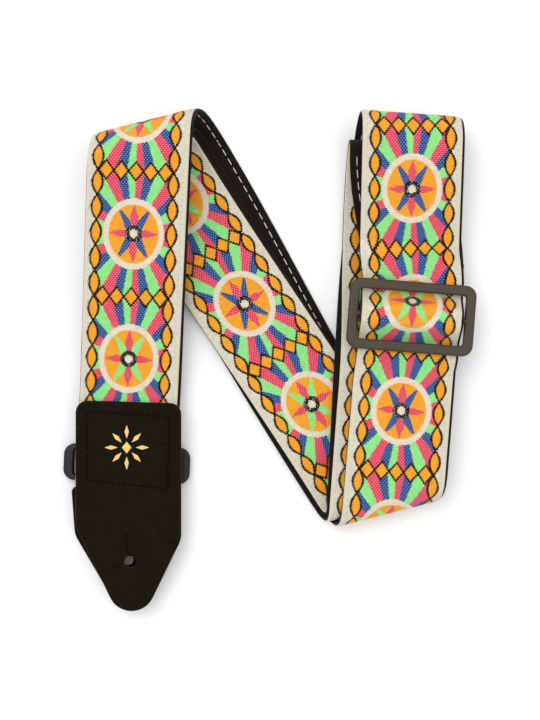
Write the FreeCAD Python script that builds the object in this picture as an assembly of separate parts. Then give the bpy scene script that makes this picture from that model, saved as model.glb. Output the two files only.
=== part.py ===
import FreeCAD, Part
import math
import os
from FreeCAD import Vector

# Guitar strap, folded flat as it is sold. All sizes in millimetres.
# X is to the right, Y is away from the leather tips, Z is up from the table.

ORIGIN = Vector(1.82, -125.46, 0)   # brings the middle of the folded strap to X = Y = 0

# webbing and ribbon
WEBBING_WIDTH = 50.4        # two-inch webbing
RIBBON_WIDTH = 47.8
WEBBING_THICK = 1.6
RIBBON_THICK = 0.8
STRAP_THICK = WEBBING_THICK + RIBBON_THICK
HALF = STRAP_THICK / 2
LAYER = STRAP_THICK + 0.3   # one strap lying on another

# levels of the strap's middle plane
Z1 = HALF                   # on the table
Z2 = Z1 + LAYER
Z3 = Z2 + LAYER
Z4 = Z3 + LAYER + 0.3
Z5 = Z4 + LAYER
Z_SLIDE = 17.4              # front run where it passes under the slide's outer bars
Z_RETURN = Z_SLIDE - LAYER  # sewn run below it
Z_TAIL = 10.2               # front run below the leather
Z_RING_TOP = 7.4            # strap above the ring's bar

# slide and ring
SLIDE_LENGTH, SLIDE_DEPTH, SLIDE_BAR, SLIDE_CORNER = 62.6, 35.0, 5.1, 5.5
SLIDE_THICK = 3.2
SLIDE_ANGLE = -4.5
SLIDE_CENTRE = (69.25, 146.7, 20.5)
RING_LENGTH, RING_DEPTH, RING_BAR, RING_CORNER = 64.0, 18.6, 3.2, 5.6
RING_END = 5.6                        # width of the ring's solid ends
SLIDE_INNER_CORNER, RING_INNER_CORNER = 1.6, 0.8
RING_ANGLE = -2.4
RING_CENTRE = (-72.9, 73.0, 4.3)

# leather ends
LEATHER_LENGTH, LEATHER_THICK = 105.2, 2.8
FRONT_SIDES = (27.9, 24.8)            # left and right side of the front end, from its tip's line
REAR_SIDES = (26.4, 26.4)
LEATHER_CORNER, TIP_RADIUS = 5.9, 11.8
TAPER = 26.0                          # slope of the sides that run down to the tip
HOLE_RADIUS, HOLE_FROM_TIP, HOLE_ASIDE = 3.0, 24.6, 0.7
SLIT_WIDTH, SLIT_LENGTH, SLIT_ANGLE = 0.7, 12.0, 9.0
THREAD_RADIUS, STITCH_PITCH = 0.4, 2.9


def unit(angle):
    return Vector(math.cos(math.radians(angle)), math.sin(math.radians(angle)), 0)


def save(name, solids):
    shape = solids[0] if len(solids) == 1 else Part.makeCompound(solids)
    shape.translated(ORIGIN).exportStep("parts/%s.step" % name)


# ---- strap geometry -------------------------------------------------------------------
# A section is (centre, ruling direction, half length of the ruling, normal to the ribbon side).

def fold_profile(low, high, radius, pinch, easing=20.0):
    """Side view of a turn from the lower level round and back to the upper one.

    Gives (x, z, slope angle, arc length); the slope angle grows from 0 to 180 degrees."""
    beta = math.radians(pinch)
    drop = low + radius * (1 + math.cos(beta)) - easing * (1 - math.cos(beta)) - high
    slope = drop / math.sin(beta) if pinch else 0.0
    if slope < -1e-6 or (not pinch and abs(drop) > 1e-6):
        raise ValueError("turn cannot reach its level: %r" % ((low, high, radius, pinch, slope),))
    points, x, z, a, s = [(0.0, low, 0.0, 0.0)], 0.0, low, 0.0, 0.0
    for r, turn, count in ((radius, math.pi + beta, 12), (0, slope, 1), (easing, -beta, 3)):
        if abs(turn) < 1e-9:
            continue
        for _ in range(count):
            step = turn / count
            if r:
                side = 1 if step > 0 else -1
                cx, cz = x - side * r * math.sin(a), z + side * r * math.cos(a)
                a += step
                x, z = cx + side * r * math.sin(a), cz - side * r * math.cos(a)
                s += r * abs(step)
            else:
                x, z, s = x + step * math.cos(a), z + step * math.sin(a), s + step
            points.append((x, z, a, s))
    return points


def fold(start, heading, out_heading, low, high, radius, pinch, rising, face):
    """Sections of a turn. start is the plan point where the flat run ends."""
    axis = (heading + out_heading) / 2.0
    f, d = unit(axis), unit(heading)
    e = Vector(-f.y, f.x, 0)
    if e.dot(d) < 0:
        e = e * -1
    ca, sa = e.dot(d), f.dot(d)
    g = f if f.dot(Vector(d.y, -d.x, 0)) > 0 else f * -1
    profile = fold_profile(low, high, radius, pinch)
    if not rising:
        end_x, total = profile[-1][0], profile[-1][3]
        profile = [(x - end_x, z, a - math.pi, total - s) for x, z, a, s in reversed(profile)]
        profile = [(x, z, a + math.pi, s) for x, z, a, s in profile]
    sections = []
    for x, z, a, s in profile:
        centre = start + f * (s / ca * sa) + e * x + Vector(0, 0, z)
        if rising:
            normal = e * -math.sin(a) + Vector(0, 0, math.cos(a))
        else:
            normal = e * math.sin(a) + Vector(0, 0, -math.cos(a))
        sections.append((centre, g, WEBBING_WIDTH / 2 / ca, normal * face))
    return sections


def flat_section(line, along, z, face, axis=None):
    """Section across a flat run, along millimetres past the line's own point."""
    d = unit(line[2])
    right = Vector(d.y, -d.x, 0)
    g = right if axis is None else unit(axis)
    if g.dot(right) < 0:
        g = g * -1
    centre = Vector(line[0], line[1], 0) + d * along + Vector(0, 0, z)
    return (centre, g, WEBBING_WIDTH / 2 / g.dot(right), Vector(0, 0, face))


def ramp(line, start, length, z_from, z_to, face, axis=None, count=6):
    """Sections of a smooth change of level along a run."""
    d = unit(line[2])
    sections = []
    for i in range(count + 1):
        t = i / count
        z = z_from + (z_to - z_from) * t * t * (3 - 2 * t)
        slope = (z_to - z_from) * 6 * t * (1 - t) / length
        centre, g, half, _ = flat_section(line, start + length * t, z, face, axis)
        across = g.cross(Vector(0, 0, 1))
        if across.dot(d) < 0:
            across = across * -1
        grade = slope / across.dot(d)
        normal = Vector(0, 0, 1) - across * grade
        normal.normalize()
        sections.append((centre, g, half, normal * face))
    return sections


def angle_near(angle, target):
    """The same line direction, turned by half turns to lie within 90 degrees of target."""
    while angle - target > 90:
        angle -= 180
    while angle - target < -90:
        angle += 180
    return angle


def run_between(first, first_heading, last, last_heading, levels, face, count=24):
    """Sections of a run lying flat or on others, from one section to another.

    levels are (fraction of the run, z): the run eases from one level to the next."""
    p, q = (Vector(c[0].x, c[0].y, 0) for c in (first, last))
    reach = (q - p).Length
    m, n = unit(first_heading) * reach, unit(last_heading) * reach
    rule = [angle_near(math.degrees(math.atan2(c[1].y, c[1].x)), h - 90)
            for c, h in ((first, first_heading), (last, last_heading))]
    rule[1] = angle_near(rule[1], rule[0])
    sections = [first]
    for i in range(1, count):
        t = i / count
        centre = (p * (2 * t ** 3 - 3 * t * t + 1) + m * (t ** 3 - 2 * t * t + t)
                  + q * (3 * t * t - 2 * t ** 3) + n * (t ** 3 - t * t))
        d = (p * (6 * t * t - 6 * t) + m * (3 * t * t - 4 * t + 1) + q * (6 * t - 6 * t * t)
             + n * (3 * t * t - 2 * t))
        d.normalize()
        g = unit(rule[0] + (rule[1] - rule[0]) * t)
        z, slope = levels[-1][1], 0.0
        for (ta, za), (tb, zb) in zip(levels, levels[1:]):
            if t < ta:
                z = za
                break
            if t <= tb:
                k = (t - ta) / (tb - ta)
                z = za + (zb - za) * k * k * (3 - 2 * k)
                slope = (zb - za) * 6 * k * (1 - k) / ((tb - ta) * reach)
                break
        across = g.cross(Vector(0, 0, 1))
        if across.dot(d) < 0:
            across = across * -1
        normal = Vector(0, 0, 1) - across * (slope / across.dot(d))
        normal.normalize()
        right = Vector(d.y, -d.x, 0)
        sections.append((centre + Vector(0, 0, z), g, WEBBING_WIDTH / 2 / abs(g.dot(right)),
                         normal * face))
    return sections + [last]


def climbing_run(first, last, heading, easing, face):
    """Sections of a run that leaves its level over the easing length and then climbs evenly."""
    d = unit(heading)
    reach = (last[0] - first[0]).dot(d)
    grade = (last[0].z - first[0].z) / (reach - easing / 2)
    rule = [angle_near(math.degrees(math.atan2(c[1].y, c[1].x)), heading - 90) for c in (first, last)]
    sections = [first]
    for i in range(1, 14):
        s = easing * i / 5 if i < 6 else easing + (reach - easing) * (i - 5) / 9
        t = s / reach
        rise = grade * (s * s / (2 * easing) if s < easing else s - easing / 2)
        slope = grade * min(s / easing, 1.0)
        p = first[0] + (last[0] - first[0]) * t
        g = unit(rule[0] + (rule[1] - rule[0]) * t)
        across = g.cross(Vector(0, 0, 1))
        if across.dot(d) < 0:
            across = across * -1
        normal = Vector(0, 0, 1) - across * (slope / across.dot(d))
        normal.normalize()
        half = WEBBING_WIDTH / 2 / abs(g.dot(Vector(d.y, -d.x, 0)))
        sections.append((Vector(p.x, p.y, first[0].z + rise), g, half, normal * face))
    return sections + [last]


def layer(sections, low, high, width):
    """Solid between two offsets from the middle plane, through every section."""
    wires, first, sides = [], sections[0][1], ([], [])
    for centre, g, half, normal in sections:
        w = half * width / WEBBING_WIDTH
        if g.dot(first) < 0:
            g = g * -1
        sides[0].append(centre + g * w + normal * low)
        sides[1].append(centre - g * w + normal * low)
        corners = [centre + g * (sx * w) + normal * off
                   for sx, off in ((1, low), (-1, low), (-1, high), (1, high))]
        wires.append(Part.makePolygon(corners + corners[:1]))
    outline = sides[0] + sides[1][::-1]
    up = sections[0][3]
    if all(abs(p.z - outline[0].z) < 1e-6 for p in outline) and abs(abs(up.z) - 1) < 1e-9:
        return Part.Face(Part.makePolygon(outline + outline[:1])).extrude(up * (high - low))
    solid = Part.makeLoft(wires, True, True)
    if solid.Volume < 0:
        solid.reverse()
    return solid


RUNS = {}


def strap_run(name, sections):
    """One run of the strap: its webbing and its ribbon. The normal points to the ribbon side."""
    RUNS[name] = sections
    split = HALF - RIBBON_THICK
    save("webbing_" + name, [layer(sections, -HALF, split, WEBBING_WIDTH)])
    save("ribbon_" + name, [layer(sections, split, HALF, RIBBON_WIDTH)])


FRONT_LEG = (-68.2, 155.0, 86.9)      # x, y and heading of the left front run

# ---- turns: plan point where the turn starts, heading before and after it ------------------
DOWN, UP = False, True      # from the upper run to the lower one, or the other way
FACE, BACK = 1, -1          # ribbon side up or down

LEFT_OUTER = dict(start=(-70.7, 108.3), before=86.9, after=-58.3,
                  shape=(Z1, Z_TAIL, 15.6, 11.5, DOWN, FACE))
LEFT_MIDDLE = dict(start=(-68.1, 162.9), before=87.2, after=-58.6, shape=(Z2, Z5, 8.3, 8.0, DOWN, FACE))
LEFT_INNER = dict(start=(-68.1, 163.0), before=87.6, after=-59.0, shape=(Z3, Z4, 5.6, 8.0, DOWN, BACK))
BASE_OUTER = dict(start=(65.8, 113.5), before=-95.2, after=123.8,
                  shape=(Z1, Z_SLIDE, 10.6, 6.0, DOWN, FACE))
BASE_MIDDLE = dict(start=(58.7, 110.1), before=-94.5, after=123.1, shape=(Z2, Z5, 7.4, 8.0, DOWN, FACE))
BASE_INNER = dict(start=(56.1, 109.9), before=-93.0, after=121.6, shape=(Z3, Z4, 4.7, 8.0, DOWN, BACK))
TOP_OUTER = dict(start=(69.2, 183.1), before=89.3, after=-97.6,
                 shape=(Z1, Z_SLIDE, 12.4, 10.0, DOWN, FACE))
TOP_INNER = dict(start=(64.4, 228.1), before=88.8, after=-95.5,
                 shape=(Z2, Z_RETURN, (Z_RETURN - Z2) / 2, 0.0, DOWN, BACK))


def make_turn(t):
    return fold(Vector(t["start"][0], t["start"][1], 0), t["before"], t["after"], *t["shape"])


os.makedirs("parts", exist_ok=True)
left_outer, left_middle, left_inner = make_turn(LEFT_OUTER), make_turn(LEFT_MIDDLE), make_turn(LEFT_INNER)
base_outer, base_middle, base_inner = make_turn(BASE_OUTER), make_turn(BASE_MIDDLE), make_turn(BASE_INNER)
top_outer, top_inner = make_turn(TOP_OUTER), make_turn(TOP_INNER)

# ---- outer strand: leather end, left front run, lowest diagonal, right front run ---------
TAIL_TOP, TAIL_END = 107.5, 61.5
tail_top = flat_section(FRONT_LEG, TAIL_TOP - FRONT_LEG[1], Z_TAIL, FACE)
strap_run("front_tail", [flat_section(FRONT_LEG, TAIL_END - FRONT_LEG[1], Z_TAIL, FACE), tail_top])
strap_run("front_leg", climbing_run(tail_top, left_outer[4], FRONT_LEG[2], 12.0, FACE))
strap_run("left_turn_outer", left_outer[4:])
strap_run("diagonal_low", run_between(left_outer[-1], LEFT_OUTER["after"], base_outer[-1],
                                      BASE_OUTER["after"] - 180, [(0, Z1)], BACK))
strap_run("base_turn_outer", base_outer)

# ---- the front run goes over the slide's centre bar ---------------------------------------
SLIDE_X, SLIDE_Y, SLIDE_Z = SLIDE_CENTRE
OVER_BAR = (SLIDE_X, SLIDE_Y, SLIDE_ANGLE + 90)
HUMP_HALF = 14.6            # to the middle of each outer bar
HUMP_TOP = SLIDE_Z + SLIDE_THICK / 2 + 0.3 + STRAP_THICK + 0.3 + HALF
hump = ([flat_section(OVER_BAR, -HUMP_HALF, Z_SLIDE, FACE)]
        + ramp(OVER_BAR, -12.0, 9.8, Z_SLIDE, HUMP_TOP, FACE, count=8)
        + ramp(OVER_BAR, 2.2, 9.8, HUMP_TOP, Z_SLIDE, FACE, count=8)
        + [flat_section(OVER_BAR, HUMP_HALF, Z_SLIDE, FACE)])
strap_run("front_hump", hump)
strap_run("front_low", run_between(base_outer[0], BASE_OUTER["before"] + 180, hump[0],
                                   OVER_BAR[2], [(0, Z_SLIDE)], FACE, count=4))
strap_run("front_high", run_between(hump[-1], OVER_BAR[2], top_outer[0], TOP_OUTER["before"],
                                    [(0, Z_SLIDE)], FACE, count=4))

# ---- middle strand: right back run, top diagonal, left back run, ring ----------------------
strap_run("top_turn_outer", top_outer)
strap_run("right_back", run_between(top_outer[-1], TOP_OUTER["after"], base_inner[0],
                                    BASE_INNER["before"], [(0, Z1), (0.48, Z1), (0.82, Z4)], BACK))
strap_run("base_turn_inner", base_inner)
strap_run("diagonal_top", run_between(base_inner[-1], BASE_INNER["after"], left_inner[-1],
                                      LEFT_INNER["after"] + 180, [(0, Z3)], FACE))
strap_run("left_turn_inner", left_inner)

RING_X, RING_Y, RING_Z = RING_CENTRE
bar = Vector(RING_X, RING_Y, 0) + unit(RING_ANGLE + 90) * ((RING_DEPTH - RING_BAR) / 2)
ring_turn = fold(bar, RING_ANGLE - 90, RING_ANGLE + 90, Z1, Z_RING_TOP, (Z_RING_TOP - Z1) / 2,
                 0.0, UP, BACK)
strap_run("ring_turn", ring_turn)
strap_run("left_back", run_between(left_inner[0], LEFT_INNER["before"] + 180, ring_turn[0],
                                   RING_ANGLE - 90, [(0, Z4), (0.22, Z4), (0.68, Z1)], BACK))

# ---- inner strand: ring, left middle run, middle diagonal, right runs, slide --------------
strap_run("left_middle", run_between(ring_turn[-1], RING_ANGLE + 90, left_middle[0],
                                     LEFT_MIDDLE["before"], [(0, Z_RING_TOP), (0.38, Z_RING_TOP),
                                                             (0.8, Z5)], FACE))
strap_run("left_turn_middle", left_middle)
strap_run("diagonal_middle", run_between(left_middle[-1], LEFT_MIDDLE["after"], base_middle[-1],
                                         BASE_MIDDLE["after"] - 180, [(0, Z2)], BACK))
strap_run("base_turn_middle", base_middle)
strap_run("right_middle", run_between(base_middle[0], BASE_MIDDLE["before"] + 180, top_inner[-1],
                                      TOP_INNER["after"] + 180,
                                      [(0, Z5), (0.22, Z5), (0.56, Z2)], FACE))
strap_run("top_turn_inner", top_inner)

# the sewn end: over the centre bar, round it and back under its own run
TO_BAR = (SLIDE_X, SLIDE_Y, SLIDE_ANGLE - 90)
LOOP_RADIUS = SLIDE_THICK / 2 + 0.3 + HALF
loop_in = flat_section(TO_BAR, -HUMP_HALF, Z_RETURN, BACK)
loop = ([loop_in]
        + ramp(TO_BAR, -10.2, 9.3, Z_RETURN, SLIDE_Z + LOOP_RADIUS, BACK, count=8)
        + fold(Vector(SLIDE_X, SLIDE_Y, 0), TO_BAR[2], OVER_BAR[2], SLIDE_Z - LOOP_RADIUS,
               SLIDE_Z + LOOP_RADIUS, LOOP_RADIUS, 0.0, DOWN, BACK)
        + ramp(OVER_BAR, 1.0, 10.0, SLIDE_Z - LOOP_RADIUS, Z_RETURN - LAYER, FACE)
        + [flat_section(OVER_BAR, HUMP_HALF + 14.0, Z_RETURN - LAYER, FACE)])
strap_run("slide_loop", loop)
strap_run("right_return", run_between(top_inner[0], TOP_INNER["before"] + 180, loop_in, TO_BAR[2],
                                      [(0, Z_RETURN)], BACK, count=6))

# ---- slide and ring: moulded frames with rounded edges -------------------------------------


def rounded_plate(length, depth, corner, thick):
    wire = Part.makePolygon([Vector(sx * length / 2, sy * depth / 2, 0)
                             for sx, sy in ((1, 1), (-1, 1), (-1, -1), (1, -1), (1, 1))])
    solid = Part.Face(wire).extrude(Vector(0, 0, thick)).translated(Vector(0, 0, -thick / 2))
    upright = [e for e in solid.Edges if abs(e.tangentAt(e.FirstParameter).z) > 0.9]
    return solid.makeFillet(corner, upright)


def placed(solid, centre, angle):
    solid = solid.copy()
    solid.rotate(Vector(), Vector(0, 0, 1), angle)
    solid.translate(Vector(*centre))
    return solid


def moulded_frame(length, depth, bar_width, end_width, corner, inner_corner, thick, rounding):
    inner = rounded_plate(length - 2 * end_width, depth - 2 * bar_width,
                          inner_corner, thick + 2)
    frame = rounded_plate(length, depth, corner, thick).cut(inner)
    rims = [e for e in frame.Edges if abs(abs(e.CenterOfMass.z) - thick / 2) < 1e-6]
    return frame.makeFillet(rounding, rims)


slide = moulded_frame(SLIDE_LENGTH, SLIDE_DEPTH, SLIDE_BAR, SLIDE_BAR, SLIDE_CORNER,
                      SLIDE_INNER_CORNER, SLIDE_THICK, 1.1)
centre_bar = Part.makeCylinder(SLIDE_THICK / 2, SLIDE_LENGTH - 2 * SLIDE_BAR + 3.0,
                               Vector(-SLIDE_LENGTH / 2 + SLIDE_BAR - 1.5, 0, 0), Vector(1, 0, 0))
slide = slide.fuse(centre_bar).removeSplitter()
save("slide_frame", [placed(slide, SLIDE_CENTRE, SLIDE_ANGLE)])

ring = moulded_frame(RING_LENGTH, RING_DEPTH, RING_BAR, RING_END, RING_CORNER,
                     RING_INNER_CORNER, RING_BAR, 1.5)
save("end_ring", [placed(ring, RING_CENTRE, RING_ANGLE)])

# ---- leather ends ----------------------------------------------------------------------------


def leather_plate(length, sides, drop, corner):
    """Leather end with its tip at the origin and its length along +Y, lying on z = 0.

    The top edge drops from left to right."""
    left, right = sides
    k, r = math.radians(TAPER), TIP_RADIUS
    tip = [Vector(r * math.sin(a), r - r * math.cos(a), 0) for a in (k - math.pi / 2, 0, math.pi / 2 - k)]
    end = tip[2]
    right_shoulder = Vector(right, end.y + (right - end.x) / math.tan(k), 0)
    left_shoulder = Vector(-left, end.y + (left - end.x) / math.tan(k), 0)
    top_right, top_left = Vector(right, length - drop, 0), Vector(-left, length, 0)
    points = [end, right_shoulder, top_right, top_left, left_shoulder, tip[0]]
    wire = Part.Wire([Part.Arc(*tip).toShape()]
                     + [Part.makeLine(p, q) for p, q in zip(points, points[1:])])
    plate = Part.Face(wire).extrude(Vector(0, 0, LEATHER_THICK))
    for point, radius in ((top_right, corner), (top_left, corner), (right_shoulder, 12.0),
                          (left_shoulder, 12.0)):
        edges = [e for e in plate.Edges if abs(e.tangentAt(e.FirstParameter).z) > 0.9
                 and math.hypot(e.CenterOfMass.x - point.x, e.CenterOfMass.y - point.y) < 0.5]
        plate = plate.makeFillet(radius, edges)
    hole = Part.makeCylinder(HOLE_RADIUS, LEATHER_THICK + 2, Vector(-HOLE_ASIDE, HOLE_FROM_TIP, -1))
    slit = Part.makeBox(SLIT_WIDTH, SLIT_LENGTH, LEATHER_THICK + 2,
                        Vector(-HOLE_ASIDE - SLIT_WIDTH / 2, HOLE_FROM_TIP + HOLE_RADIUS - 0.3, -1))
    slit.rotate(Vector(-HOLE_ASIDE, HOLE_FROM_TIP, 0), Vector(0, 0, 1), SLIT_ANGLE)
    return plate.cut(hole).cut(slit)


def stitch_row(start, end):
    """Visible thread of a row of lock stitches: one short bar per stitch."""
    count = max(1, int(round((end - start).Length / STITCH_PITCH)))
    step = (end - start) * (1.0 / count)
    return [Part.makeCylinder(THREAD_RADIUS, step.Length * 0.72, start + step * (i + 0.14), step)
            for i in range(count)]


def stitch_box(outline, z):
    corners = [Vector(x, y, z) for x, y in outline]
    return [bar for p, q in zip(corners, corners[1:] + corners[:1]) for bar in stitch_row(p, q)]


# front end: lies on the strap's front tail
FRONT_ANGLE = 0.0
FRONT_TIP = (-69.6, 0.2, Z_TAIL + HALF + 0.05)
FRONT_BOX = ((-22.2, 65.2), (18.2, 61.2), (18.5, 96.9), (-22.2, 99.7))
THREAD_LIFT = THREAD_RADIUS + 0.03
save("leather_front", [placed(leather_plate(LEATHER_LENGTH, FRONT_SIDES, 1.5, LEATHER_CORNER),
                              FRONT_TIP, FRONT_ANGLE)])
save("stitching_front", [placed(bar_, FRONT_TIP, FRONT_ANGLE) for bar_ in
                         stitch_box(FRONT_BOX, LEATHER_THICK + THREAD_LIFT)])

# foil ornament between the stitches: a plain star of lozenges
FOIL_THICK, ORNAMENT_X, ORNAMENT_Y = 0.12, -2.3, 81.7


def lozenge(x, y, long, wide, angle):
    corners = [Vector(long, 0, 0), Vector(0, wide, 0), Vector(-long, 0, 0), Vector(0, -wide, 0)]
    solid = Part.Face(Part.makePolygon(corners + corners[:1])).extrude(Vector(0, 0, FOIL_THICK))
    solid.rotate(Vector(), Vector(0, 0, 1), angle)
    return solid.translated(Vector(x, y, LEATHER_THICK + 0.02))


foil = [lozenge(ORNAMENT_X, ORNAMENT_Y, 3.0, 2.4, 90)]
for i in range(8):
    direction = unit(45.0 * i) * (7.8 if i % 2 == 0 else 6.8)
    foil.append(lozenge(ORNAMENT_X + direction.x, ORNAMENT_Y + direction.y, 3.4, 1.1, 45.0 * i))
save("foil_ornament", [placed(solid, FRONT_TIP, FRONT_ANGLE) for solid in foil])

# rear end: a shorter leather end held between the plies of a tab round the ring's lower bar
REAR_LENGTH, REAR_ANGLE = 63.6, 4.2
REAR_TIP = (-70.0, 0.3, RING_Z - LEATHER_THICK / 2)
REAR_DROP = 4.6                       # keeps its top edge along the ring
TAB_WIDTH, TAB_LENGTH = 50.0, 19.0
TAB_RADIUS = RING_BAR / 2 + 0.3 + WEBBING_THICK / 2
low_bar = Vector(RING_X, RING_Y, RING_Z) - unit(RING_ANGLE + 90) * ((RING_DEPTH - RING_BAR) / 2)
tab_side = []
for radius in (TAB_RADIUS + WEBBING_THICK / 2, TAB_RADIUS - WEBBING_THICK / 2):
    ply = LEATHER_THICK / 2 + 0.05 + (WEBBING_THICK if radius > TAB_RADIUS else 0.0)
    side = [(-TAB_LENGTH, ply), (-5.0, ply)]
    side += [(radius * math.cos(math.radians(a)), radius * math.sin(math.radians(a)))
             for a in range(90, -91, -15)]
    side += [(-5.0, -ply), (-TAB_LENGTH, -ply)]
    tab_side.append(side)
outline = tab_side[0] + tab_side[1][::-1]
points = [Vector(-TAB_WIDTH / 2, y, z) for y, z in outline]
tab = Part.Face(Part.makePolygon(points + points[:1])).extrude(Vector(TAB_WIDTH, 0, 0))
save("rear_tab", [placed(tab, tuple(low_bar), RING_ANGLE)])
save("leather_rear", [placed(leather_plate(REAR_LENGTH, REAR_SIDES, REAR_DROP, 3.0), REAR_TIP, REAR_ANGLE)])
tab_face = LEATHER_THICK / 2 + 0.05 + WEBBING_THICK + THREAD_LIFT
REAR_BOX = ((-20.0, -17.0), (20.0, -17.0), (20.0, -6.5), (-20.0, -6.5))
save("stitching_rear", [placed(bar_, tuple(low_bar), RING_ANGLE) for z in (tab_face, -tab_face)
                        for bar_ in stitch_box(REAR_BOX, z)])

# two rows of stitches close the loop round the slide's centre bar
loop_end = Z_RETURN - LAYER - HALF - THREAD_LIFT
save("stitching_slide_loop", [placed(bar_, (SLIDE_X, SLIDE_Y, loop_end), SLIDE_ANGLE)
                              for y in (18.0, 24.0)
                              for bar_ in stitch_row(Vector(-21, y, 0), Vector(21, y, 0))])
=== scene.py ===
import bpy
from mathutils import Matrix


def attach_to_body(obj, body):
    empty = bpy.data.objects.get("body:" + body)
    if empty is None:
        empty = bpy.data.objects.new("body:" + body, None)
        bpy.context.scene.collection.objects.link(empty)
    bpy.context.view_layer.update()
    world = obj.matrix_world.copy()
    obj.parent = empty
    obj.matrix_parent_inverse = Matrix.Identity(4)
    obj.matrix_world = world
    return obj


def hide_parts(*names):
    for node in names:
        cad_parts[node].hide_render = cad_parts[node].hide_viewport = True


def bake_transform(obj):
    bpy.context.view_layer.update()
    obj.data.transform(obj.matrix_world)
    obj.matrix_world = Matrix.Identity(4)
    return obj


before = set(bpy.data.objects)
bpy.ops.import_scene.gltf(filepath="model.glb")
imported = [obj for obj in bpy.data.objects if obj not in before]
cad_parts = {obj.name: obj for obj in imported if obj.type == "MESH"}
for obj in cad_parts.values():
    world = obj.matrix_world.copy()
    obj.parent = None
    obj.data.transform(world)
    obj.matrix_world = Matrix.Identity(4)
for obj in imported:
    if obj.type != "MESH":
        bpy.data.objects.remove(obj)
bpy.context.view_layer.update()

import copy
import math
from math import acos, asin, atan2, cos, degrees, hypot, pi, radians, sin, tan
import bpy
import bmesh
from mathutils import Vector, Matrix

MM = 0.001

# ---- the strap's sizes and levels, as in the CAD (millimetres)
WEBBING_WIDTH, RIBBON_WIDTH = 50.4, 47.8
WEBBING_THICK, RIBBON_THICK = 1.6, 0.8
STRAP_THICK = WEBBING_THICK + RIBBON_THICK
HALF = STRAP_THICK / 2
SPLIT = HALF - RIBBON_THICK  # where webbing and ribbon meet
LAYER_GAP = 0.3
LAYER = STRAP_THICK + LAYER_GAP
Z1 = HALF  # middle heights of the stacked layers, from the floor up
Z2 = Z1 + LAYER
Z3 = Z2 + LAYER
Z4 = Z3 + LAYER + LAYER_GAP
Z5 = Z4 + LAYER
Z_SLIDE = 17.4  # the front run at the slide
Z_RETURN = Z_SLIDE - LAYER
Z_TAIL = 10.2  # the end under the front leather
Z_RING_TOP = 7.4  # the wrap on the ring's upper bar
SLIDE_LENGTH, SLIDE_DEPTH, SLIDE_BAR, SLIDE_CORNER, SLIDE_THICK = 62.6, 35.0, 5.1, 5.5, 3.2
SLIDE_ANGLE, SLIDE_CENTRE = -4.5, (69.25, 146.7, 20.5)
RING_LENGTH, RING_DEPTH, RING_BAR, RING_CORNER = 64.0, 18.6, 3.2, 5.6
RING_END = 5.6  # width of the ring's solid ends
SLIDE_INNER_CORNER, RING_INNER_CORNER = 1.6, 0.8
RING_ANGLE, RING_CENTRE = -2.4, (-72.9, 73.0, 4.3)
EASING_RADIUS, EASING_STEPS = 20.0, 6  # of the arc that eases a turn into its upper run
RUN_SPACING = 3.0
ORIGIN = Vector((1.82, -125.46, 0.0))  # the CAD model's own shift, which centres the folded strap


def unit(angle):
    return Vector((cos(radians(angle)), sin(radians(angle)), 0.0))


def up(z):
    return Vector((0.0, 0.0, z))


def right_of(d):
    return Vector((d.y, -d.x, 0.0))


class Section:
    """A straight ruling across the strap: centre, direction, normal on the ribbon side, and how the
    distance along the strap and across it grow along the ruling."""

    def __init__(self, centre, g, normal, d, face):
        self.centre, self.g, self.normal = centre, g, normal
        self.along = g.dot(d)
        self.across = g.dot(right_of(d)) * face
        self.s = 0.0

    def flipped(self):
        other = copy.copy(self)
        other.along, other.across = -self.along, -self.across
        return other


def fold_profile(low, high, radius, pinch):
    """Side view of a turn from its lower run up: (distance out, height, angle, length so far)."""
    beta = radians(pinch)
    drop = low + radius * (1 + cos(beta)) - EASING_RADIUS * (1 - cos(beta)) - high
    slope = drop / sin(beta) if pinch else 0.0
    points, x, z, a, s = [(0.0, low, 0.0, 0.0)], 0.0, low, 0.0, 0.0
    arc_steps = max(16, int(radius * pi))
    for r, turn, count in ((radius, pi + beta, arc_steps), (0, slope, max(1, int(slope / RUN_SPACING))),
                           (EASING_RADIUS, -beta, EASING_STEPS)):
        if abs(turn) < 1e-9:
            continue
        for _ in range(count):
            step = turn / count
            if r:
                side = 1 if step > 0 else -1
                cx, cz = x - side * r * sin(a), z + side * r * cos(a)
                a += step
                x, z = cx + side * r * sin(a), cz - side * r * cos(a)
                s += r * abs(step)
            else:
                x, z, s = x + step * cos(a), z + step * sin(a), s + step
            points.append((x, z, a, s))
    return points


def fold(start, heading, out_heading, low, high, radius, pinch, rising, face):
    """Sections of a turn that starts at one heading and leaves at another, rising or going down."""
    f, d = unit((heading + out_heading) / 2.0), unit(heading)
    e = Vector((-f.y, f.x, 0.0))
    if e.dot(d) < 0:
        e = -e
    ca, sa = e.dot(d), f.dot(d)
    g = f if f.dot(right_of(d)) > 0 else -f
    profile = fold_profile(low, high, radius, pinch)
    if not rising:
        end_x, total = profile[-1][0], profile[-1][3]
        profile = [(x - end_x, z, a, total - s) for x, z, a, s in reversed(profile)]
    sections = []
    for x, z, a, s in profile:
        centre = start + f * (s / ca * sa) + e * x + up(z)
        normal = (e * -sin(a) + up(cos(a))) * (face if rising else -face)
        sections.append(Section(centre, g, normal, d, face))
    return sections


def flat_section(line, along, z, face):
    """Level section at a distance along a line, which is x, y and heading."""
    d = unit(line[2])
    centre = Vector((line[0], line[1], 0.0)) + d * along + up(z)
    return Section(centre, right_of(d), up(face), d, face)


def ramp(line, start, length, z_from, z_to, face, count=14):
    """Sections along a line that pass smoothly from one height to another."""
    d = unit(line[2])
    sections = []
    for i in range(count + 1):
        t = i / count
        section = flat_section(line, start + length * t, z_from + (z_to - z_from) * t * t * (3 - 2 * t), face)
        slope = (z_to - z_from) * 6 * t * (1 - t) / length
        section.normal = (up(1.0) - d * slope).normalized() * face
        sections.append(section)
    return sections


def angle_near(angle, target):
    while angle - target > 90:
        angle -= 180
    while angle - target < -90:
        angle += 180
    return angle


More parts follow.
